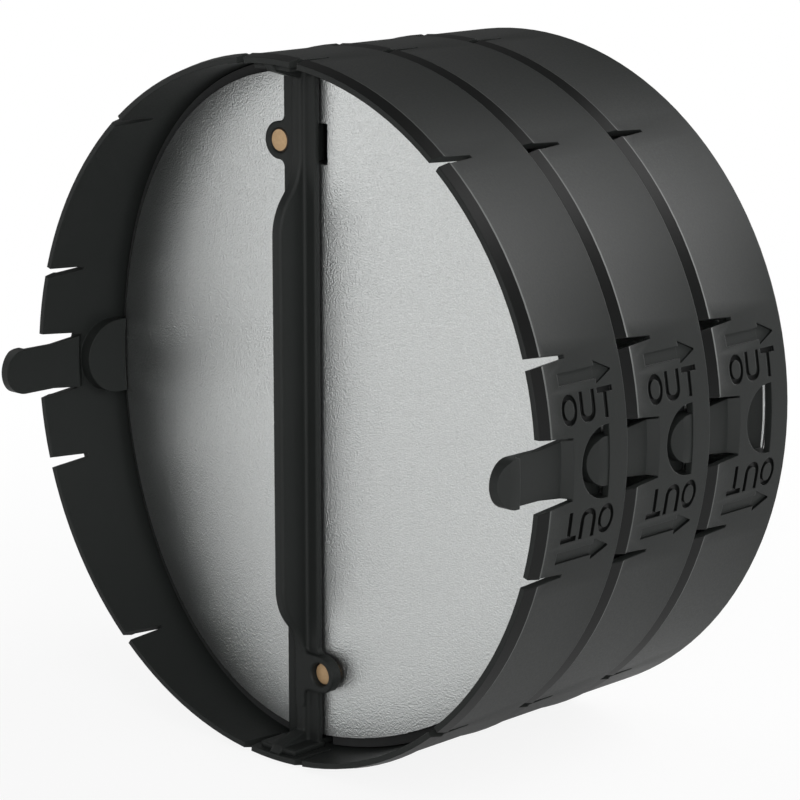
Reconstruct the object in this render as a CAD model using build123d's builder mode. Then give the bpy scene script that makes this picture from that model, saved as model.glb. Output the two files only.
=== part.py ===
from build123d import *

import os
from math import cos, radians, sin

# Stack of modules along the flow, +Y; each module is drawn with its inlet rim at Y = 0
MODULES = 3
RING_LENGTH = 25.3
RING_GAP = 0.3
PITCH = RING_LENGTH + RING_GAP

# Ring wall, sized to slide into a 150 mm duct
BODY_R = 73.7
WALL = 1.5
BORE_R = BODY_R - WALL
RIM_RELIEF = 0.3
RIM_R = BODY_R - RIM_RELIEF
RIDGE_RISE = 0.3
RIDGE_R = BODY_R + RIDGE_RISE
RIDGE_Y = 2.7
RIDGE_END_Y = 3.5
THROUGH = 2 * BODY_R

# V slits from the inlet rim, each pair on one diameter
SLIT_ANGLES = (17, 51, 84, 96, 129, 163)
SLIT_LENGTH = 9.8
SLIT_MOUTH = 2.2
SLIT_TIP = 0.7
PAST_RIM = 1.0

# Leaves: bowed sheet, its front face BOW_START behind the rim at the hinge
CLEARANCE = 0.3
SHEET = 0.8
BOW_START = 10.65
BOW_SLOPE = 0.079
BOW_RADIUS = 416.7
LEAF_GAP = 2.4
LEAF_R = BORE_R - LEAF_GAP


def bow(x, lift=0.0):
    """Point of the leaf's front face at the distance x from the hinge plane, moved back by lift."""
    return (x, BOW_START + BOW_SLOPE * x + x * x / (2 * BOW_RADIUS) + lift)


# Pockets inside the wall in front of the leaves' edges, where the next ring's tabs lodge
POCKET_DEPTH = 2.0
POCKET_WALL = 0.9
POCKET_FLOOR_R = BORE_R - POCKET_DEPTH
POCKET_R = POCKET_FLOOR_R - POCKET_WALL
POCKET_END_Y = bow(POCKET_R)[1] - CLEARANCE

# D windows over the pockets that the pads of the next ring snap into
WINDOW_AHEAD = 1.5872
WINDOW_FLAT_Y = POCKET_END_Y - WINDOW_AHEAD
WINDOW_R = 7.3
WINDOW_SIDE = 0.9
WINDOW_Y = WINDOW_FLAT_Y - WINDOW_SIDE

# Latch tabs at 3 and 9 o'clock, joggled inward to pass inside the next ring
TAB_R = BORE_R - CLEARANCE
TAB_THICKNESS = 1.3
TAB_INNER_R = TAB_R - TAB_THICKNESS
TAB_ROOT_Y = 9.5
TAB_WAIST_Y = 1.5
TAB_ROOT_HALF = 5.8
TAB_HALF = 4.9
BAY_MOUTH_PLAY = 2.3
BAY_MOUTH_HALF = TAB_HALF + BAY_MOUTH_PLAY
BAY_END_PLAY = 0.4
BAY_END_HALF = TAB_ROOT_HALF + BAY_END_PLAY
JOGGLE = 1.7
PAD_Y = WINDOW_FLAT_Y - PITCH
PAD_LENGTH = 5.6
TAB_REACH = PAD_LENGTH - PAD_Y
PAD_SUNK = 0.2
PAD_R = BODY_R - PAD_SUNK
PAD_LEAD = 0.9
PAD_FLAT = 2.8

# Hinge pins
PIN_R = 1.25
RUNNING = 0.05
KNUCKLE_BORE_R = PIN_R + RUNNING
KNUCKLE_R = KNUCKLE_BORE_R + SHEET
PIN_Y = BOW_START + KNUCKLE_R

# Hinge stations along Z, mirrored in X and Z from one leaf to the other
KNUCKLE_GAP = 0.4
LUG_HALF = 3.5
LUG_INSET = 12.9
LUG_WIDTH = 7.6
LUG_HIGH = BORE_R - LUG_INSET
LUG_LOW = LUG_HIGH - LUG_WIDTH
PIN_END = 0.7
PIN_HALF = LUG_HIGH + PIN_END
COIL_GAP = 0.5
COIL_LENGTH = 5.0
COIL_LOW = LUG_HALF + COIL_GAP
COIL_HIGH = COIL_LOW + COIL_LENGTH
KNUCKLE_INNER = COIL_HIGH + COIL_GAP
KNUCKLE_OUTER = LUG_LOW - KNUCKLE_GAP
KNUCKLE_MID = (KNUCKLE_INNER + KNUCKLE_OUTER) / 2
KNUCKLES = (
    (KNUCKLE_MID + KNUCKLE_GAP / 2, KNUCKLE_OUTER),
    (-KNUCKLE_MID + KNUCKLE_GAP / 2, -KNUCKLE_INNER),
)
LUG_R = 2.4
KNUCKLE_PLAY = 0.5
EDGE_FREE = KNUCKLE_R + KNUCKLE_PLAY
LUG_PLAY = 0.8
EDGE_LUG = LUG_R + LUG_PLAY
NOTCH_DEPTH = 2.7
EDGE_NOTCH = EDGE_LUG + NOTCH_DEPTH

# Seal lip behind the round edge of a leaf, notched where the next ring's tab passes
SEAL_LAP = 3.8
SEAL_INNER_R = LEAF_R - SEAL_LAP
SEAL_R = BORE_R - CLEARANCE
SEAL_THICKNESS = 0.9
SEAL_START = 5.8
TAB_PASSING = 1.0
SEAL_NOTCH_R = TAB_INNER_R - TAB_PASSING
TAB_SIDE_PASSING = 2.2
SEAL_NOTCH_HALF = TAB_ROOT_HALF + TAB_SIDE_PASSING

# Return spring
WIRE_R = 0.35
LEG_OUT = 0.45
LEG_START = (PIN_R + LEG_OUT, PIN_Y - LEG_OUT)
LEG_X = 16.0
LEG_Z = -(COIL_LOW + COIL_HIGH) / 2

# Hinge bar: T section, deep in the middle and shallow at the ends
BLADE = 2.7
BELLY_Y = 2.0
END_Y = 7.85
END_LENGTH = 19.2
RAMP = 16.0
END_HALF = BORE_R - END_LENGTH
BELLY_HALF = END_HALF - RAMP
FLANGE = 8.8
FLANGE_THICKNESS = 1.3
FLANGE_REAR_Y = BOW_START - CLEARANCE
FLANGE_Y = FLANGE_REAR_Y - FLANGE_THICKNESS
EDGE_CHAMFER = 0.5
ROOT_ROUND = 0.65
FOOT_THICKNESS = 1.2
FOOT_FRONT_Y = 1.5
FOOT_REAR_Y = 16.0
FOOT_WIDTH = 10.0
FOOT_TAIL = 7.0
RIB_LIP = 0.3
RIB_STEP = 1.6
RIB_RISE = 3.4

# Magnets and their bosses: upper left and, turned half round, lower right
MAGNET_X = 6.0
MAGNET_Z = (LUG_LOW + LUG_HIGH) / 2
MAGNET_R = 2.5
MAGNET_SUNK = 0.15
MAGNET_Y = FLANGE_Y + MAGNET_SUNK
MAGNET_THICKNESS = 1.4
BOSS_WALL = 1.4
BOSS_R = MAGNET_R + BOSS_WALL
BOSS_BLEND = 1.5
BOSS_CHAMFER = 0.3


def wall_plane(angle):
    """Plane through the axis whose normal points at the wall at this clock angle."""
    turn = radians(angle)
    return Plane(origin=(0, 0, 0), x_dir=(0, 1, 0), z_dir=(cos(turn), 0, sin(turn)))


def boss_plan(side, web):
    """Front outline of a magnet boss on this side, blended into a web of this width."""
    with BuildSketch(mode=Mode.PRIVATE) as plan:
        Rectangle(web, 4 * BOSS_R)
        with Locations((side * MAGNET_X / 2, 0)):
            Rectangle(MAGNET_X, 2 * BOSS_R)
        with Locations((side * MAGNET_X, 0)):
            Circle(BOSS_R)
        corners = plan.vertices().filter_by_position(Axis.Y, -BOSS_R, BOSS_R)
        fillet(corners.filter_by(lambda corner: abs(corner.X) < MAGNET_X), BOSS_BLEND)
    return plan.sketch


# Latch tab at +X, from its joggled root to the pad that fills the window in front
tab_start = 2 * TAB_ROOT_HALF / TAB_INNER_R
tab_plane = Plane(
    origin=(0, 0, 0),
    x_dir=(cos(tab_start), 0, sin(tab_start)),
    z_dir=(-sin(tab_start), 0, cos(tab_start)),
)
with BuildPart() as tab:
    with BuildSketch(tab_plane):
        with BuildLine():
            Polyline(
                (TAB_INNER_R, -TAB_REACH),
                (PAD_R - PAD_LEAD, -TAB_REACH),
                (PAD_R, PAD_Y - PAD_FLAT),
                (PAD_R, PAD_Y),
                (TAB_R, PAD_Y),
                (TAB_R, TAB_ROOT_Y - JOGGLE),
                (BODY_R, TAB_ROOT_Y),
                (BODY_R - WALL / 2, TAB_ROOT_Y + WALL),
                (BORE_R, TAB_ROOT_Y + WALL),
                (TAB_INNER_R, TAB_ROOT_Y - JOGGLE + TAB_THICKNESS),
                close=True,
            )
        make_face()
    revolve(axis=Axis.Y, revolution_arc=360 * tab_start / radians(180))
    with BuildSketch(Plane.YZ):
        with BuildLine():
            Polyline(
                (TAB_HALF - TAB_REACH, -TAB_HALF),
                (TAB_WAIST_Y, -TAB_HALF),
                (TAB_ROOT_Y, -TAB_ROOT_HALF),
                (TAB_ROOT_Y + 2 * WALL, -TAB_ROOT_HALF),
                (TAB_ROOT_Y + 2 * WALL, TAB_ROOT_HALF),
                (TAB_ROOT_Y, TAB_ROOT_HALF),
                (TAB_WAIST_Y, TAB_HALF),
                (TAB_HALF - TAB_REACH, TAB_HALF),
            )
            ThreePointArc(
                (TAB_HALF - TAB_REACH, TAB_HALF),
                (-TAB_REACH, 0),
                (TAB_HALF - TAB_REACH, -TAB_HALF),
            )
        make_face()
    extrude(amount=THROUGH, mode=Mode.INTERSECT)

# Pocket at +X, the space inside it and the window in front of that space, as solids
latch_solids = []
for edge_r, rear_y, inner_r, outer_r in (
    (WINDOW_R + POCKET_WALL, POCKET_END_Y, POCKET_R, BORE_R + WALL / 2),
    (WINDOW_R, POCKET_END_Y + CLEARANCE, POCKET_FLOOR_R, BORE_R),
    (WINDOW_R, WINDOW_FLAT_Y, POCKET_FLOOR_R, BODY_R + WALL),
):
    with BuildPart() as latch_solid:
        with BuildSketch(Plane.YZ):
            with BuildLine():
                Polyline((WINDOW_Y, -edge_r), (rear_y, -edge_r), (rear_y, edge_r), (WINDOW_Y, edge_r))
                ThreePointArc((WINDOW_Y, edge_r), (WINDOW_Y - edge_r, 0), (WINDOW_Y, -edge_r))
            make_face()
        extrude(amount=THROUGH)
        with BuildSketch(Plane.XZ):
            Circle(outer_r)
            Circle(inner_r, mode=Mode.SUBTRACT)
        extrude(amount=THROUGH, both=True, mode=Mode.INTERSECT)
    latch_solids.append(latch_solid.part)
pocket, pocket_space, window = latch_solids

# Ring: turned wall with a lead-in rim, slits, tab bays, and a pocket behind each window
with BuildPart() as ring:
    with BuildSketch(Plane.YZ):
        with BuildLine():
            Polyline(
                (0, BORE_R),
                (0, RIM_R),
                (RIDGE_Y, RIDGE_R),
                (RIDGE_END_Y, BODY_R),
                (RING_LENGTH, BODY_R),
                (RING_LENGTH, BORE_R),
                close=True,
            )
        make_face()
    revolve(axis=Axis.Y)
    for slit_angle in SLIT_ANGLES:
        with BuildSketch(wall_plane(slit_angle)):
            Polygon(
                (-PAST_RIM, -SLIT_MOUTH / 2),
                (0, -SLIT_MOUTH / 2),
                (SLIT_LENGTH, -SLIT_TIP / 2),
                (SLIT_LENGTH, SLIT_TIP / 2),
                (0, SLIT_MOUTH / 2),
                (-PAST_RIM, SLIT_MOUTH / 2),
                align=None,
            )
        extrude(amount=THROUGH, both=True, mode=Mode.SUBTRACT)
    with BuildSketch(Plane.YZ):
        Polygon(
            (-PAST_RIM, -BAY_MOUTH_HALF),
            (0, -BAY_MOUTH_HALF),
            (TAB_ROOT_Y, -BAY_END_HALF),
            (TAB_ROOT_Y, BAY_END_HALF),
            (0, BAY_MOUTH_HALF),
            (-PAST_RIM, BAY_MOUTH_HALF),
            align=None,
        )
    extrude(amount=THROUGH, both=True, mode=Mode.SUBTRACT)
    for solid, mode in (
        (pocket, Mode.ADD),
        (pocket_space, Mode.SUBTRACT),
        (window, Mode.SUBTRACT),
        (tab.part, Mode.ADD),
    ):
        add(solid, mode=mode)
        mirror(solid, about=Plane.YZ, mode=mode)

# Hinge bar: bellied blade on a flange, wall feet, pin lugs and magnet bosses
with BuildPart() as hinge_bar:
    with BuildSketch(Plane.YZ.offset(-BLADE / 2)):
        with BuildLine():
            Line((BELLY_Y, 0), (BELLY_Y, BELLY_HALF))
            middle = ((BELLY_Y + END_Y) / 2, (BELLY_HALF + END_HALF) / 2)
            leaving = TangentArc((BELLY_Y, BELLY_HALF), middle, tangent=(0, 1))
            TangentArc(middle, (END_Y, END_HALF), tangent=leaving % 1)
            Polyline(
                (END_Y, END_HALF),
                (END_Y, BODY_R),
                (FLANGE_REAR_Y, BODY_R),
                (FLANGE_REAR_Y, 0),
                (BELLY_Y, 0),
            )
        make_face()
        mirror(about=Plane.XZ)
    extrude(amount=BLADE)
    front_edges = hinge_bar.edges().filter_by_position(Axis.Y, BELLY_Y - EDGE_CHAMFER, END_Y + EDGE_CHAMFER)
    chamfer(front_edges.filter_by(Axis.X, reverse=True), EDGE_CHAMFER)
    with BuildSketch(Plane.XY.offset(-BODY_R)) as tee:
        with Locations((0, (FLANGE_Y + FLANGE_REAR_Y) / 2)):
            Rectangle(FLANGE, FLANGE_THICKNESS)
        with Locations((0, (END_Y + EDGE_CHAMFER + FLANGE_Y) / 2)):
            Rectangle(BLADE, FLANGE_Y - END_Y - EDGE_CHAMFER)
        fillet(tee.vertices().group_by(Axis.Y)[1].sort_by(Axis.X)[1:-1], ROOT_ROUND)
    extrude(amount=2 * BODY_R)
    for low, high in ((-LUG_HIGH, -LUG_LOW), (-LUG_HALF, LUG_HALF), (LUG_LOW, LUG_HIGH)):
        with BuildSketch(Plane.XY.offset(low)):
            with Locations((0, (FLANGE_Y + PIN_Y) / 2)):
                Rectangle(2 * LUG_R, PIN_Y - FLANGE_Y)
            with Locations((0, PIN_Y)):
                Circle(LUG_R)
        extrude(amount=high - low)
    with BuildSketch(Plane.XZ.offset(-FLANGE_REAR_Y)):
        with Locations((0, MAGNET_Z)):
            add(boss_plan(-1, FLANGE))
        with Locations((0, -MAGNET_Z)):
            add(boss_plan(1, FLANGE))
    extrude(amount=FLANGE_THICKNESS)
    with BuildSketch(Plane.XZ.offset(-FLANGE_Y)):
        with Locations((0, -MAGNET_Z)):
            add(boss_plan(1, BLADE))
    extrude(amount=FLANGE_Y - END_Y)
    with BuildSketch(Plane.XZ.offset(-FLANGE_REAR_Y)):
        with Locations((-MAGNET_X, MAGNET_Z), (MAGNET_X, -MAGNET_Z)):
            Circle(MAGNET_R)
    extrude(amount=FLANGE_REAR_Y, mode=Mode.SUBTRACT)
    seats = hinge_bar.edges().filter_by(GeomType.CIRCLE).filter_by(lambda edge: edge.radius == MAGNET_R)
    chamfer(seats.filter_by_position(Axis.Y, END_Y - CLEARANCE, FLANGE_Y + CLEARANCE), BOSS_CHAMFER)
    with BuildSketch(Plane.XZ.offset(-FLANGE_REAR_Y)):
        Circle(BODY_R)
        Circle(BORE_R - FOOT_THICKNESS, mode=Mode.SUBTRACT)
        Rectangle(FOOT_WIDTH, 2 * BODY_R, mode=Mode.INTERSECT)
    extrude(amount=FLANGE_REAR_Y - FOOT_FRONT_Y)
    with BuildSketch(Plane.XZ.offset(-FOOT_REAR_Y)):
        Circle(BODY_R)
        Circle(BORE_R - FOOT_THICKNESS, mode=Mode.SUBTRACT)
        Rectangle(FOOT_TAIL, 2 * BODY_R, mode=Mode.INTERSECT)
    extrude(amount=FOOT_REAR_Y - FOOT_FRONT_Y)
    with BuildSketch(Plane.YZ.offset(-BLADE / 2)):
        with BuildLine():
            Polyline(
                (RIB_LIP, BORE_R),
                (RIB_STEP, BORE_R - RIB_STEP),
                (END_Y, BORE_R - RIB_RISE),
                (FLANGE_Y, BORE_R - FOOT_THICKNESS),
                (FLANGE_Y, BODY_R),
                (RIB_LIP, BODY_R),
                close=True,
            )
        make_face()
        mirror(about=Plane.XZ)
    extrude(amount=BLADE)
    with BuildSketch(Plane.XZ):
        Circle(BORE_R)
    extrude(amount=THROUGH, both=True, mode=Mode.INTERSECT)
    with BuildSketch(Plane.XY):
        with Locations((0, PIN_Y)):
            Circle(PIN_R)
    extrude(amount=PIN_HALF, both=True, mode=Mode.SUBTRACT)

# Pin common to both leaves
with BuildPart() as hinge_pin:
    with BuildSketch(Plane.XY):
        with Locations((0, PIN_Y)):
            Circle(PIN_R)
    extrude(amount=PIN_HALF, both=True)

# Magnet in the upper boss
with BuildPart() as magnet:
    with BuildSketch(Plane.XZ.offset(-MAGNET_Y)):
        with Locations((-MAGNET_X, MAGNET_Z)):
            Circle(MAGNET_R)
    extrude(amount=-MAGNET_THICKNESS)

# Right leaf: bowed half disc whose hinge edge is cut back between its rolled knuckles
with BuildPart() as leaf:
    with BuildSketch(Plane.XY):
        with BuildLine():
            ThreePointArc(bow(0), bow(BODY_R / 2), bow(BODY_R))
            Line(bow(BODY_R), bow(BODY_R, SHEET))
            ThreePointArc(bow(BODY_R, SHEET), bow(BODY_R / 2, SHEET), bow(0, SHEET))
            Line(bow(0, SHEET), bow(0))
        make_face()
    extrude(amount=BODY_R, both=True)
    with BuildSketch(Plane.XZ):
        Circle(LEAF_R)
    extrude(amount=THROUGH, both=True, mode=Mode.INTERSECT)
    with BuildSketch(Plane.XZ):
        for edge, low, high in (
            (EDGE_LUG, KNUCKLES[0][1], BODY_R),
            (EDGE_NOTCH, KNUCKLES[0][1], LUG_HIGH + KNUCKLE_GAP),
            (EDGE_FREE, KNUCKLES[1][1], KNUCKLES[0][0]),
            (EDGE_LUG, -LUG_HALF - KNUCKLE_GAP, LUG_HALF + KNUCKLE_GAP),
            (EDGE_FREE, -KNUCKLE_OUTER, KNUCKLES[1][0]),
            (EDGE_LUG, -BODY_R, -KNUCKLE_OUTER),
        ):
            with Locations((0, (low + high) / 2)):
                Rectangle(2 * edge, high - low)
    extrude(amount=THROUGH, both=True, mode=Mode.SUBTRACT)
    for low, high in KNUCKLES:
        with BuildSketch(Plane.XY.offset(low)):
            with Locations((0, PIN_Y)):
                Circle(KNUCKLE_R)
        extrude(amount=high - low)
    with BuildSketch(Plane.XY):
        with Locations((0, PIN_Y)):
            Circle(KNUCKLE_BORE_R)
    extrude(amount=BODY_R, both=True, mode=Mode.SUBTRACT)

# Seal lip bonded to the rear of the right leaf
with BuildPart() as seal:
    seal_rear = SHEET + SEAL_THICKNESS
    with BuildSketch(Plane.XY):
        with BuildLine():
            ThreePointArc(bow(0, SHEET), bow(BODY_R / 2, SHEET), bow(BODY_R, SHEET))
            Line(bow(BODY_R, SHEET), bow(BODY_R, seal_rear))
            ThreePointArc(bow(BODY_R, seal_rear), bow(BODY_R / 2, seal_rear), bow(0, seal_rear))
            Line(bow(0, seal_rear), bow(0, SHEET))
        make_face()
    extrude(amount=BODY_R, both=True)
    with BuildSketch(Plane.XZ):
        Circle(SEAL_R)
        Rectangle(2 * SEAL_R, 2 * SEAL_NOTCH_HALF, mode=Mode.SUBTRACT)
        Circle(SEAL_NOTCH_R)
        Circle(SEAL_INNER_R, mode=Mode.SUBTRACT)
        Rectangle(2 * SEAL_START, 2 * BODY_R, mode=Mode.SUBTRACT)
    extrude(amount=THROUGH, both=True, mode=Mode.INTERSECT)

# Return spring of the right leaf: coil envelope round the pin and the leg on the leaf
leg_end = bow(LEG_X, SHEET + WIRE_R)
leg_run = Vector(leg_end[0] - LEG_START[0], leg_end[1] - LEG_START[1], 0)
with BuildPart() as spring:
    with BuildSketch(Plane.XY.offset(-COIL_HIGH)):
        with Locations((0, PIN_Y)):
            Circle(KNUCKLE_R)
            Circle(KNUCKLE_BORE_R, mode=Mode.SUBTRACT)
    extrude(amount=COIL_HIGH - COIL_LOW)
    with BuildSketch(Plane(origin=(*LEG_START, LEG_Z), z_dir=leg_run)):
        Circle(WIRE_R)
    extrude(amount=leg_run.length)

# Every module repeats the same pieces; the left leaf is the right one turned half round.
# The origin is on the axis, halfway along the middle ring's plain outer wall.
WALL_MIDDLE = (RIDGE_END_Y + RING_LENGTH) / 2
STACK_START = -WALL_MIDDLE - (MODULES - 1) / 2 * PITCH
PIECES = (
    ("ring", ring, 0),
    ("hinge_bar", hinge_bar, 0),
    ("hinge_pin", hinge_pin, 0),
    ("upper_magnet", magnet, 0),
    ("lower_magnet", magnet, 180),
    ("right_leaf", leaf, 0),
    ("left_leaf", leaf, 180),
    ("right_seal", seal, 0),
    ("left_seal", seal, 180),
    ("right_spring", spring, 0),
    ("left_spring", spring, 180),
)
os.makedirs("parts", exist_ok=True)
for module in range(MODULES):
    for name, piece, turn in PIECES:
        with BuildPart() as placed:
            with Locations(Location((0, STACK_START + module * PITCH, 0), (0, turn, 0))):
                add(piece.part)
        placed.part.label = f"{name}_{module + 1}"
        export_step(placed.part, f"parts/{name}_{module + 1}.step")
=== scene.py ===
from math import cos, hypot, pi, radians, sin

import bpy
from mathutils import Matrix, Vector


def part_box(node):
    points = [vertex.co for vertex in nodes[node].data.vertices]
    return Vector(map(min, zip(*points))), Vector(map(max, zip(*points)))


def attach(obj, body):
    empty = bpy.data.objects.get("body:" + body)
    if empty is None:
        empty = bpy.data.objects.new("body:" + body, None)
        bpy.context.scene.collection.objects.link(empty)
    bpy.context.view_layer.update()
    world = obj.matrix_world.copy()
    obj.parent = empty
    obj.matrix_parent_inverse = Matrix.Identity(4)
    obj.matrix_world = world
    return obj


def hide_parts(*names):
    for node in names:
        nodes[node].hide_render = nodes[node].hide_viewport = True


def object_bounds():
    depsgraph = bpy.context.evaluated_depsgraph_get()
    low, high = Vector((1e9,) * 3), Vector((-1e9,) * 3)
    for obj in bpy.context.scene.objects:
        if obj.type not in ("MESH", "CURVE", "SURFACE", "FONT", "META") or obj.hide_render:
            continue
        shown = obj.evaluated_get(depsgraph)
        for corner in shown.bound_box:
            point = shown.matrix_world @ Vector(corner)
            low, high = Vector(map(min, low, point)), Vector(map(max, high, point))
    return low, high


# Lengths are in metres, and each piece stands where its CAD node does
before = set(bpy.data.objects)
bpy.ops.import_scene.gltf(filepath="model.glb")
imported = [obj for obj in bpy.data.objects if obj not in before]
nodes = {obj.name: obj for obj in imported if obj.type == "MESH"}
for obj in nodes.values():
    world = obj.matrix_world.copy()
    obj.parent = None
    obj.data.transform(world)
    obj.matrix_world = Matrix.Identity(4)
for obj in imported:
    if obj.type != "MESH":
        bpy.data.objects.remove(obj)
cad_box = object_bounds()
modules = range(1, 4)

# Housing plastic
# The rings and hinge bars are injection mouldings in black polypropylene. Their moulds are
# spark eroded, which leaves a fine satin grain and takes the gloss off every face.
MOTTLE_MM = 22
SPARK_GRAIN_MM = 0.45
SPARK_GRAIN_DEPTH = 0.00004
BLACK_LIGHT = "#222423"
BLACK_DARK = "#1c1e1d"
SATIN = (0.42, 0.58)
CRISP_EDGE = 0.0003


def linear(colour):
    """Linear RGBA of an sRGB hex colour."""
    parts = [int(colour[i : i + 2], 16) / 255 for i in (1, 3, 5)]
    return [p / 12.92 if p <= 0.04045 else ((p + 0.055) / 1.055) ** 2.4 for p in parts] + [1.0]


def per_mm(size):
    """Scale of a noise pattern whose features are this many millimetres wide."""
    return 1000 / size


def add_node(tree, kind, inputs=(), **settings):
    """Adds a node with its settings; each input takes a value or the socket that feeds it."""
    node = tree.nodes.new(kind)
    for name, value in settings.items():
        setattr(node, name, value)
    for name, value in dict(inputs).items():
        if isinstance(value, bpy.types.NodeSocket):
            tree.links.new(value, node.inputs[name])
        else:
            node.inputs[name].default_value = value
    return node


def new_finish(name):
    """An empty material with its output, and the object's own coordinates to draw patterns in."""
    material = bpy.data.materials.new(name)
    material.use_nodes = True
    tree = material.node_tree
    tree.nodes.clear()
    output = add_node(tree, "ShaderNodeOutputMaterial")
    place = add_node(tree, "ShaderNodeTexCoord").outputs["Object"]
    return material, tree, output, place


def dress(piece, *finishes):
    """Gives a piece these materials in place of its own."""
    piece.data.materials.clear()
    for finish in finishes:
        piece.data.materials.append(finish)


def moulded_plastic(name, light, dark, edge, roughness):
    """Black moulding: faint mottle, edges rounded to this radius, and spark grain in the gloss.

    The grain is drawn coarser than it is, or it wouldn't show at this size.
    """
    material, tree, output, place = new_finish(name)
    mottle = add_node(
        tree, "ShaderNodeTexNoise", {"Vector": place, "Scale": per_mm(MOTTLE_MM), "Detail": 3}
    )
    tone = add_node(tree, "ShaderNodeMix", {"Factor": mottle.outputs["Fac"]}, data_type="RGBA")
    tone.inputs[6].default_value = linear(dark)
    tone.inputs[7].default_value = linear(light)
    grain = add_node(
        tree, "ShaderNodeTexNoise", {"Vector": place, "Scale": per_mm(SPARK_GRAIN_MM), "Detail": 2}
    )
    gloss = add_node(
        tree,
        "ShaderNodeMapRange",
        {"Value": grain.outputs["Fac"], "To Min": roughness[0], "To Max": roughness[1]},
    )
    rounding = add_node(tree, "ShaderNodeBevel", {"Radius": edge}, samples=6)
    bump = add_node(
        tree,
        "ShaderNodeBump",
        {
            "Height": grain.outputs["Fac"],
            "Normal": rounding.outputs[0],
            "Strength": 0.25,
            "Distance": SPARK_GRAIN_DEPTH,
        },
    )
    shader = add_node(
        tree,
        "ShaderNodeBsdfPrincipled",
        {
            "Base Color": tone.outputs[2],
            "Roughness": gloss.outputs[0],
            "Normal": bump.outputs[0],
            "Specular IOR Level": 0.16,
        },
    )
    tree.links.new(shader.outputs[0], output.inputs[0])
    return material


satin_black = moulded_plastic("moulded_black_plastic", BLACK_LIGHT, BLACK_DARK, CRISP_EDGE, SATIN)

# Rings
# One moulding each, snapped in a row by the tabs, with a flow mark sunk into the wall above
# and below each latch window. The marks' walls, the letters' floors and the slope up to the
# inlet edge's ridge are a little glossier and painted much blacker as shade, and the ridge's
# rear flank is painted lighter as a highlight.
WALL_R = 0.0737
TAB_REACH = 0.0112  # from the tabs' ends back to the rim
RIDGE_AT = 0.0027  # behind the rim, as are the ridge's end and the arrow's places
RIDGE_END = 0.0035
RIM_RELIEF = 0.0004
STEEP = 0.5  # shares of a face's normal
SLOPED = 0.1
POLISHED_EDGE = 0.0002
SMOOTH_BELOW = radians(30)
MARK_DEPTH = 0.0006
LETTER_WIDTH = 0.0045
LETTER_HEIGHT = 0.0061
STROKE_SWELL = 0.022  # of the font's size
WORD_OUT = 0.0116  # round the wall from the window's middle, as is ARROW_OUT
WORD_PITCH = 0.0053
WORD_SHIFT = -0.00025
ARROW_OUT = 0.0177
ARROW_TAIL = 0.0069
ARROW_NECK = 0.0175
ARROW_TIP = 0.0221
ARROW_SHAFT = 0.0024
ARROW_BARBS = 0.0045
ARROW_POINT = 0.06  # share of the barbs' width left at the tip
MARK_MIDDLE = (ARROW_TAIL + ARROW_TIP) / 2
# Painted shade: a much darker black for the letters, the arrows' walls and the slope before the
# ridge.
painted_shade_black = moulded_plastic(
    "black_plastic_painted_shade", "#0d0e0e", "#0b0c0b", POLISHED_EDGE, (0.3, 0.36)
)
# Painted highlight: a lighter grey on the ridge's rear flank, where the edge catches the light.
painted_highlight_black = moulded_plastic(
    "black_plastic_painted_highlight", "#3c3f3d", "#343735", POLISHED_EDGE, (0.34, 0.42)
)


def only(*objects):
    """Leaves just these objects selected, with the first one active."""
    bpy.ops.object.select_all(action="DESELECT")
    for obj in objects:
        obj.select_set(True)
    bpy.context.view_layer.objects.active = objects[0]


def settle(obj):
    """Puts an object's place, turn and size into its mesh."""
    only(obj)
    bpy.ops.object.transform_apply(location=True, rotation=True, scale=True)


def face_outward(piece):
    """Turns all of a closed mesh's faces outwards."""
    only(piece)
    bpy.ops.object.mode_set(mode="EDIT")
    bpy.ops.mesh.select_all(action="SELECT")
    bpy.ops.mesh.normals_make_consistent(inside=False)
    bpy.ops.object.mode_set(mode="OBJECT")


def merged_copy(node, name):
    """A copy of a CAD node as one joined mesh, to cut small sunk marks into."""
    copy = node.copy()
    copy.data = node.data.copy()
    copy.name = name
    copy.parent = None
    for key in list(copy.keys()):
        del copy[key]
    bpy.context.scene.collection.objects.link(copy)
    only(copy)
    bpy.ops.object.mode_set(mode="EDIT")
    bpy.ops.mesh.select_all(action="SELECT")
    bpy.ops.mesh.remove_doubles(threshold=1e-6)
    bpy.ops.mesh.customdata_custom_splitnormals_clear()
    bpy.ops.object.mode_set(mode="OBJECT")
    return copy


def carve(piece, cutter, name):
    """Cuts one closed mesh out of another, whose new faces take the cutter's materials."""
    only(piece)
    cut = piece.modifiers.new(name, "BOOLEAN")
    cut.operation = "DIFFERENCE"
    cut.solver = "EXACT"
    cut.material_mode = "TRANSFER"
    cut.object = cutter
    bpy.ops.object.modifier_apply(modifier=cut.name)
    bpy.data.objects.remove(cutter)


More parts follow.
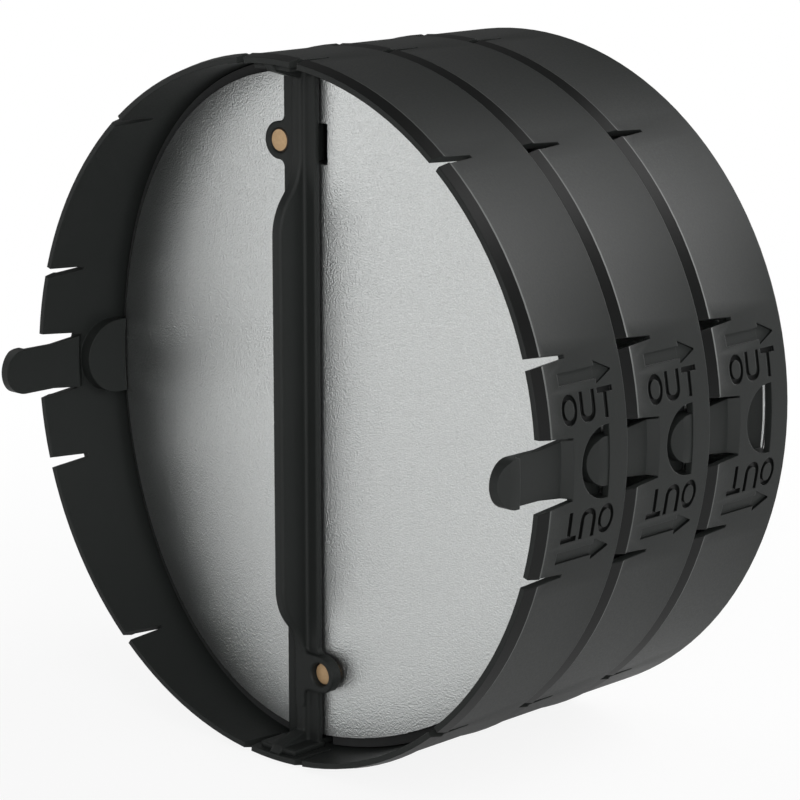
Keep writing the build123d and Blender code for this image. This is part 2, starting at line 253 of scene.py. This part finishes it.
def letter(character):
    """A solid letter, centred, drawn in XY and pushed MARK_DEPTH either way along Z."""
    bpy.ops.object.select_all(action="DESELECT")
    bpy.ops.object.text_add()
    text = bpy.context.object
    text.data.body = character
    text.data.resolution_u = 6
    text.data.offset = STROKE_SWELL
    bpy.ops.object.convert(target="MESH")
    solid = bpy.context.object
    xs = [vertex.co.x for vertex in solid.data.vertices]
    ys = [vertex.co.y for vertex in solid.data.vertices]
    centre = Vector((min(xs) + max(xs), min(ys) + max(ys), 0)) / 2
    solid.data.transform(Matrix.Translation(-centre))
    solid.scale = (LETTER_WIDTH / (max(xs) - min(xs)), LETTER_HEIGHT / (max(ys) - min(ys)), 1)
    settle(solid)
    bpy.ops.object.mode_set(mode="EDIT")
    bpy.ops.mesh.select_all(action="SELECT")
    bpy.ops.mesh.remove_doubles(threshold=1e-6)
    bpy.ops.mesh.extrude_region_move(TRANSFORM_OT_translate={"value": (0, 0, 2 * MARK_DEPTH)})
    bpy.ops.mesh.select_all(action="SELECT")
    bpy.ops.transform.translate(value=(0, 0, -MARK_DEPTH))
    bpy.ops.mesh.normals_make_consistent(inside=False)
    bpy.ops.object.mode_set(mode="OBJECT")
    # The whole letter recess, walls and floor, takes the painted shade black.
    dress(solid, painted_shade_black)
    return solid


def arrow():
    """A solid broad arrow along X, centred on the word's middle, to the same depth."""
    shaft_middle = (ARROW_TAIL + ARROW_NECK) / 2
    bpy.ops.object.select_all(action="DESELECT")
    bpy.ops.mesh.primitive_cube_add(size=1, location=(shaft_middle - MARK_MIDDLE, 0, 0))
    solid = bpy.context.object
    solid.scale = (ARROW_NECK - ARROW_TAIL, ARROW_SHAFT, 2 * MARK_DEPTH)
    settle(solid)
    bpy.ops.object.mode_set(mode="EDIT")
    bpy.ops.mesh.select_all(action="DESELECT")
    bpy.ops.object.mode_set(mode="OBJECT")
    for face in solid.data.polygons:
        face.select = face.normal.x > STEEP
    bpy.ops.object.mode_set(mode="EDIT")
    bpy.ops.mesh.extrude_region_move()
    bpy.ops.transform.resize(value=(1, ARROW_BARBS / ARROW_SHAFT, 1))
    bpy.ops.mesh.extrude_region_move(
        TRANSFORM_OT_translate={"value": (ARROW_TIP - ARROW_NECK, 0, 0)}
    )
    bpy.ops.transform.resize(value=(1, ARROW_POINT, 1))
    bpy.ops.object.mode_set(mode="OBJECT")
    # The arrow's side walls take the painted shade black, its floor the plain satin black.
    dress(solid, satin_black, painted_shade_black)
    for face in solid.data.polygons:
        face.material_index = 0 if abs(face.normal.z) > STEEP else 1
    return solid


def flow_mark(outward):
    """Cutters for the mark above the window (1) or the turned one below it (-1)."""
    parts = []
    for place, character in enumerate("OUT"):
        solid = letter(character)
        solid.rotation_euler.z = 0 if outward > 0 else pi
        along = (place - 1) * WORD_PITCH + WORD_SHIFT
        solid.location = (outward * along, outward * WORD_OUT, 0)
        settle(solid)
        parts.append(solid)
    shaft = arrow()
    shaft.location.y = outward * ARROW_OUT
    settle(shaft)
    parts.append(shaft)
    return parts


# The marks are drawn flat, then rolled round the wall at each window
marks = flow_mark(1) + flow_mark(-1)
only(*marks)
bpy.ops.object.join()
mark_cutter = bpy.context.object
flat_marks = [vertex.co.copy() for vertex in mark_cutter.data.vertices]

for module in modules:
    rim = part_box(f"ring_{module}")[0].y + TAB_REACH
    ring = merged_copy(nodes[f"ring_{module}"], f"ring_with_marks_{module}")
    dress(ring, satin_black, painted_shade_black, painted_highlight_black)
    for face in ring.data.polygons:
        along = face.center.y - rim
        tilt = face.normal.y
        if hypot(face.center.x, face.center.z) > WALL_R - RIM_RELIEF:
            # Faces on the slope before the ridge get the painted shade black.
            if 0 < along < RIDGE_AT and -STEEP < tilt < -SLOPED:
                face.material_index = 1
            # Faces on the ridge's rear flank get the painted highlight grey.
            elif RIDGE_AT < along < RIDGE_END and tilt > SLOPED:
                face.material_index = 2
    for side in (0, pi):
        cutter = mark_cutter.copy()
        cutter.data = mark_cutter.data.copy()
        bpy.context.scene.collection.objects.link(cutter)
        for vertex, flat in zip(cutter.data.vertices, flat_marks):
            turn = side + flat.y / WALL_R
            out = WALL_R + flat.z
            vertex.co = (out * cos(turn), rim + MARK_MIDDLE + flat.x, out * sin(turn))
        face_outward(cutter)
        carve(ring, cutter, "sunk_marks")
    bpy.ops.object.shade_smooth_by_angle(angle=SMOOTH_BELOW)
    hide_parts(f"ring_{module}")
    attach(ring, "housing")
bpy.data.objects.remove(mark_cutter)

# Hinge bars
# The rings' plastic with softer edges: a bellied blade on a flange, lugs for the pin behind
# it and a boss for a magnet near each end. The plastic was let in at the middle of the
# blade, where the broken gate has left a small dimple.
SOFT_EDGE = 0.0009
GATE_R = 0.0006
GATE_PLACE = Vector((-0.0011, 0.0020, -0.0017))
soft_black = moulded_plastic(
    "moulded_black_plastic_soft_edges", BLACK_LIGHT, BLACK_DARK, SOFT_EDGE, SATIN
)
for module in modules:
    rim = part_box(f"ring_{module}")[0].y + TAB_REACH
    bar = merged_copy(nodes[f"hinge_bar_{module}"], f"hinge_bar_with_gate_mark_{module}")
    dress(bar, soft_black)
    bpy.ops.object.select_all(action="DESELECT")
    bpy.ops.mesh.primitive_uv_sphere_add(
        segments=16, ring_count=8, radius=GATE_R, location=GATE_PLACE + Vector((0, rim, 0))
    )
    dimple = bpy.context.object
    settle(dimple)
    dress(dimple, soft_black)
    carve(bar, dimple, "gate_mark")
    bpy.ops.object.shade_smooth_by_angle(angle=SMOOTH_BELOW)
    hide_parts(f"hinge_bar_{module}")
    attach(bar, "housing")

# Leaves
# Stamped and bowed sheet steel, bright coated and embossed with a fine pebble grain, with
# knuckles rolled round the pin.
PEBBLE_MM = 0.34
PEBBLE_DEPTH = 0.00014
CLOUD_MM = 30


def embossed_steel():
    """Bright coated steel whose pebble grain breaks up what it mirrors."""
    material, tree, output, place = new_finish("grained_coated_steel")
    pebble = add_node(
        tree, "ShaderNodeTexNoise", {"Vector": place, "Scale": per_mm(PEBBLE_MM), "Detail": 1}
    )
    bump = add_node(
        tree,
        "ShaderNodeBump",
        {"Height": pebble.outputs["Fac"], "Strength": 1.0, "Distance": PEBBLE_DEPTH},
    )
    cloud = add_node(
        tree, "ShaderNodeTexNoise", {"Vector": place, "Scale": per_mm(CLOUD_MM), "Detail": 3}
    )
    gloss = add_node(
        tree, "ShaderNodeMapRange", {"Value": cloud.outputs["Fac"], "To Min": 0.31, "To Max": 0.35}
    )
    tone = add_node(tree, "ShaderNodeMix", {"Factor": pebble.outputs["Fac"]}, data_type="RGBA")
    tone.inputs[6].default_value = linear("#c0c3c2")
    tone.inputs[7].default_value = linear("#e3e5e4")
    shader = add_node(
        tree,
        "ShaderNodeBsdfPrincipled",
        {
            "Base Color": tone.outputs[2],
            "Metallic": 1.0,
            "Roughness": gloss.outputs[0],
            "Normal": bump.outputs[0],
        },
    )
    tree.links.new(shader.outputs[0], output.inputs[0])
    return material


leaf_finish = embossed_steel()
for module in modules:
    for side in ("left", "right"):
        dress(nodes[f"{side}_leaf_{module}"], leaf_finish)

# Hinge pins
# Drawn bright steel wire, cut to length and pressed into the bar's lugs. The die leaves
# fine lines along it.
DRAWN_LINE_MM = 0.15
DRAWN_DEPTH = 0.00002
DRAWN_STRETCH = 0.02  # pattern's scale along the wire
DRAWN_SHADE = 0.75


def drawn_steel(name, colour, roughness):
    """Bright wire with faint drawing lines along Z, wider than real ones so that they show."""
    material, tree, output, place = new_finish(name)
    along = add_node(
        tree, "ShaderNodeMapping", {"Vector": place, "Scale": (1, 1, DRAWN_STRETCH)}
    )
    lines = add_node(
        tree,
        "ShaderNodeTexNoise",
        {"Vector": along.outputs[0], "Scale": per_mm(DRAWN_LINE_MM), "Detail": 2},
    )
    bump = add_node(
        tree,
        "ShaderNodeBump",
        {"Height": lines.outputs["Fac"], "Strength": 0.3, "Distance": DRAWN_DEPTH},
    )
    tone = add_node(tree, "ShaderNodeMix", {"Factor": lines.outputs["Fac"]}, data_type="RGBA")
    tone.inputs[6].default_value = [part * DRAWN_SHADE for part in linear(colour)[:3]] + [1.0]
    tone.inputs[7].default_value = linear(colour)
    shader = add_node(
        tree,
        "ShaderNodeBsdfPrincipled",
        {
            "Base Color": tone.outputs[2],
            "Metallic": 1.0,
            "Roughness": roughness,
            "Normal": bump.outputs[0],
        },
    )
    tree.links.new(shader.outputs[0], output.inputs[0])
    return material


pin_finish = drawn_steel("drawn_bright_steel", "#b9bcbd", 0.25)
for module in modules:
    dress(nodes[f"hinge_pin_{module}"], pin_finish)

# Magnets
# Pressed discs of sintered magnet, passivated to a dull tan, pushed into the bosses. The
# bevelled edge is painted dark brown as shade from the boss's recess round it.
SINTERED_MM = 0.6
SINTERED_DEPTH = 0.00003
MAGNET_EDGE = 0.0003
FLAT = 0.99


def passivated_magnet(name, light, dark):
    """Dull coat over the sintered grain, which is drawn coarse enough to show."""
    material, tree, output, place = new_finish(name)
    speck = add_node(
        tree, "ShaderNodeTexNoise", {"Vector": place, "Scale": per_mm(SINTERED_MM), "Detail": 4}
    )
    tone = add_node(tree, "ShaderNodeMix", {"Factor": speck.outputs["Fac"]}, data_type="RGBA")
    tone.inputs[6].default_value = linear(dark)
    tone.inputs[7].default_value = linear(light)
    bump = add_node(
        tree,
        "ShaderNodeBump",
        {"Height": speck.outputs["Fac"], "Strength": 0.3, "Distance": SINTERED_DEPTH},
    )
    shader = add_node(
        tree,
        "ShaderNodeBsdfPrincipled",
        {
            "Base Color": tone.outputs[2],
            "Metallic": 0.35,
            "Roughness": 0.5,
            "Normal": bump.outputs[0],
        },
    )
    tree.links.new(shader.outputs[0], output.inputs[0])
    return material


magnet_face = passivated_magnet("tan_passivated_magnet", "#c2a37c", "#a3845f")
# Painted shade: dark brown for the discs' bevelled edge.
painted_shade_magnet_rim = passivated_magnet("magnet_rim_painted_shade", "#3a2a1c", "#2a1e14")
for module in modules:
    for place in ("upper", "lower"):
        low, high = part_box(f"{place}_magnet_{module}")
        bpy.ops.object.select_all(action="DESELECT")
        bpy.ops.mesh.primitive_cylinder_add(
            vertices=64,
            radius=(high.x - low.x) / 2,
            depth=high.y - low.y,
            location=(low + high) / 2,
            rotation=(pi / 2, 0, 0),
        )
        magnet = bpy.context.object
        magnet.name = f"{place}_disc_magnet_{module}"
        settle(magnet)
        dress(magnet, magnet_face, painted_shade_magnet_rim)
        bpy.ops.object.mode_set(mode="EDIT")
        bpy.ops.mesh.select_all(action="SELECT")
        bpy.ops.mesh.bevel(offset=MAGNET_EDGE, segments=3, affect="EDGES")
        bpy.ops.object.mode_set(mode="OBJECT")
        for face in magnet.data.polygons:
            # Flat faces take the tan, the bevelled edge the painted shade brown.
            face.material_index = 0 if abs(face.normal.y) > FLAT else 1
        bpy.ops.object.shade_smooth_by_angle(angle=radians(40))
        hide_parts(f"{place}_magnet_{module}")
        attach(magnet, "housing")

# Seals
# Lips of soft black rubber, moulded and bonded round the rear edge of each leaf, where
# they close the gap to the ring.
BLOOM_MM = 6
BLOOM_DEPTH = 0.0001


def matt_rubber():
    """Dead matt rubber with a faint bloom."""
    material, tree, output, place = new_finish("matt_black_rubber")
    bloom = add_node(
        tree, "ShaderNodeTexNoise", {"Vector": place, "Scale": per_mm(BLOOM_MM), "Detail": 5}
    )
    tone = add_node(tree, "ShaderNodeMix", {"Factor": bloom.outputs["Fac"]}, data_type="RGBA")
    tone.inputs[6].default_value = linear("#161717")
    tone.inputs[7].default_value = linear("#252626")
    bump = add_node(
        tree,
        "ShaderNodeBump",
        {"Height": bloom.outputs["Fac"], "Strength": 0.3, "Distance": BLOOM_DEPTH},
    )
    shader = add_node(
        tree,
        "ShaderNodeBsdfPrincipled",
        {
            "Base Color": tone.outputs[2],
            "Roughness": 0.85,
            "Normal": bump.outputs[0],
            "IOR": 1.52,
        },
    )
    tree.links.new(shader.outputs[0], output.inputs[0])
    return material


seal_finish = matt_rubber()
for module in modules:
    for side in ("left", "right"):
        dress(nodes[f"{side}_seal_{module}"], seal_finish)

# Return springs
# Torsion springs of hard drawn wire: a close coil round the pin beside the middle lug,
# with one leg lying on the rear of its leaf to push it shut.
WIRE_R = 0.00035
WIRE_SIDES = 10
COIL_R = 0.0017
COIL_TURNS = 6
STEPS_PER_TURN = 18
COIL_LENGTH = 0.0043
LEG_REACH = 0.016
LEG_DROP = 0.0011
spring_finish = drawn_steel("hard_drawn_spring_wire", "#9a9d9e", 0.32)


def wire_spring(name, pin_place, start, side):
    """A coil round the pin from the height start, its top end running out to one side as a leg."""
    bpy.ops.object.select_all(action="DESELECT")
    bpy.ops.mesh.primitive_circle_add(
        vertices=WIRE_SIDES,
        radius=WIRE_R,
        rotation=(0, pi / 2, 0),
        location=(0, COIL_R, start),
    )
    wire = bpy.context.object
    wire.name = name
    settle(wire)
    coil = wire.modifiers.new("coil", "SCREW")
    coil.axis = "Z"
    coil.angle = 2 * pi
    coil.iterations = COIL_TURNS
    coil.screw_offset = COIL_LENGTH / COIL_TURNS
    coil.steps = STEPS_PER_TURN
    coil.render_steps = STEPS_PER_TURN
    coil.use_merge_vertices = False
    bpy.ops.object.modifier_apply(modifier=coil.name)
    run = Vector((side * LEG_REACH, -LEG_DROP, 0))
    bpy.ops.object.select_all(action="DESELECT")
    bpy.ops.mesh.primitive_cylinder_add(vertices=WIRE_SIDES, radius=WIRE_R, depth=run.length)
    leg = bpy.context.object
    leg.rotation_mode = "QUATERNION"
    leg.rotation_quaternion = run.to_track_quat("Z", "X")
    leg.location = Vector((0, COIL_R, start + COIL_LENGTH)) + run / 2
    settle(leg)
    only(wire, leg)
    bpy.ops.object.join()
    face_outward(wire)
    wire.location = pin_place
    settle(wire)
    bpy.ops.object.shade_smooth()
    return wire


for module in modules:
    pin_low, pin_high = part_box(f"hinge_pin_{module}")
    pin_place = ((pin_low.x + pin_high.x) / 2, (pin_low.y + pin_high.y) / 2, 0)
    for side, out in (("left", -1), ("right", 1)):
        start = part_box(f"{side}_spring_{module}")[0].z + WIRE_R
        spring = wire_spring(f"{side}_return_spring_{module}", pin_place, start, out)
        dress(spring, spring_finish)
        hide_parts(f"{side}_spring_{module}")
        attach(spring, f"{side}_flap_{module}")

# Floor and backdrop
# A plain white paper sweep that the object stands on by its lowest ring wall. It fades to
# pure white away from the object, keeps the object's shadow and shows faintly in the steel.
FLOOR_SIZE = 16
FADE_FROM = 0.08
FADE_TO = 0.35
NEAR_SHARE = 0.88
MIRROR_SHARE = 0.3
bpy.ops.object.select_all(action="DESELECT")
bpy.ops.mesh.primitive_plane_add(size=FLOOR_SIZE, location=(0, 0, cad_box[0].z))
floor = bpy.context.object
floor.name = "floor"
paper, tree, output, place = new_finish("white_paper")
seen = add_node(tree, "ShaderNodeLightPath")
matt = add_node(tree, "ShaderNodeBsdfDiffuse", {"Color": linear("#f2f2f2")})
glow = add_node(tree, "ShaderNodeEmission", {"Color": (1, 1, 1, 1), "Strength": 1.0})
away = add_node(tree, "ShaderNodeVectorMath", {0: place}, operation="LENGTH")
fade = add_node(
    tree,
    "ShaderNodeMapRange",
    {
        "Value": away.outputs["Value"],
        "From Min": FADE_FROM,
        "From Max": FADE_TO,
        "To Min": NEAR_SHARE,
    },
    interpolation_type="SMOOTHSTEP",
)
mirrored = add_node(
    tree,
    "ShaderNodeMath",
    {0: seen.outputs["Is Glossy Ray"], 1: MIRROR_SHARE, 2: seen.outputs["Is Camera Ray"]},
    operation="MULTIPLY_ADD",
)
share = add_node(
    tree, "ShaderNodeMath", {0: mirrored.outputs[0], 1: fade.outputs[0]}, operation="MULTIPLY"
)
lift = add_node(
    tree, "ShaderNodeMixShader", {0: share.outputs[0], 1: matt.outputs[0], 2: glow.outputs[0]}
)
tree.links.new(lift.outputs[0], output.inputs[0])
dress(floor, paper)

# Light
# Soft boxes all round: the strongest stand behind and to the right, so that the plastic's
# outer wall shows its curve while the faces turned to the front stay dark. The room is dim.
ROOM_LIGHT = 0.16
SOFTBOX_SIZE = 0.6
world = bpy.data.worlds.new("pale_room")
bpy.context.scene.world = world
world.use_nodes = True
tree = world.node_tree
tree.nodes.clear()
output = add_node(tree, "ShaderNodeOutputWorld")
seen = add_node(tree, "ShaderNodeLightPath")
room = add_node(tree, "ShaderNodeBackground", {"Color": (1, 1, 1, 1), "Strength": ROOM_LIGHT})
backdrop = add_node(tree, "ShaderNodeBackground", {"Color": (1, 1, 1, 1), "Strength": 1.0})
blend = add_node(
    tree,
    "ShaderNodeMixShader",
    {0: seen.outputs["Is Camera Ray"], 1: room.outputs[0], 2: backdrop.outputs[0]},
)
tree.links.new(blend.outputs[0], output.inputs[0])

middle = (cad_box[0] + cad_box[1]) / 2
for name, place, power in (
    ("back_softbox", (0.05, 0.95, 0.1), 5.3),
    ("high_back_softbox", (0.35, 0.6, 0.65), 4.3),
    ("front_softbox", (0.1, -0.95, 0.1), 1.2),
    ("front_left_softbox", (-0.65, -0.7, 0.05), 1.3),
    ("left_softbox", (-0.95, 0.05, 0.2), 3.0),
    ("right_softbox", (0.95, 0.0, 0.05), 2.0),
    ("front_right_softbox", (0.75, -0.6, 0.1), 5.0),
    ("high_right_softbox", (0.6, -0.45, 0.6), 2.3),
):
    lamp = bpy.data.lights.new(name, "AREA")
    lamp.shape = "SQUARE"
    lamp.size = SOFTBOX_SIZE
    lamp.energy = power
    holder = bpy.data.objects.new(name, lamp)
    holder.location = place
    holder.rotation_mode = "QUATERNION"
    holder.rotation_quaternion = (Vector(place) - middle).to_track_quat("Z", "Y")
    bpy.context.scene.collection.objects.link(holder)

# Camera
# Stands front right and a little above, with a long lens, as the photograph was taken. It
# looks past a point inside the first ring, moved a little right and up from that line.
CAMERA_LENS = 137.4
CAMERA_TURN = radians(43.9)
CAMERA_RISE = radians(12.7)
CAMERA_BACK = 0.623
CAMERA_RIGHT = 0.0266
CAMERA_UP = 0.0036
AIM = Vector((0, -0.040, 0))
back = Vector(
    (sin(CAMERA_TURN) * cos(CAMERA_RISE), -cos(CAMERA_TURN) * cos(CAMERA_RISE), sin(CAMERA_RISE))
)
right = Vector((0, 0, 1)).cross(back).normalized()
up = back.cross(right)
camera = bpy.data.objects.new("camera", bpy.data.cameras.new("camera"))
camera.data.lens = CAMERA_LENS
camera.data.clip_start = 0.01
camera.location = AIM + back * CAMERA_BACK + right * CAMERA_RIGHT + up * CAMERA_UP
camera.rotation_mode = "QUATERNION"
camera.rotation_quaternion = back.to_track_quat("Z", "Y")
bpy.context.scene.collection.objects.link(camera)
bpy.context.scene.camera = camera
bpy.context.scene.view_settings.view_transform = "Standard"
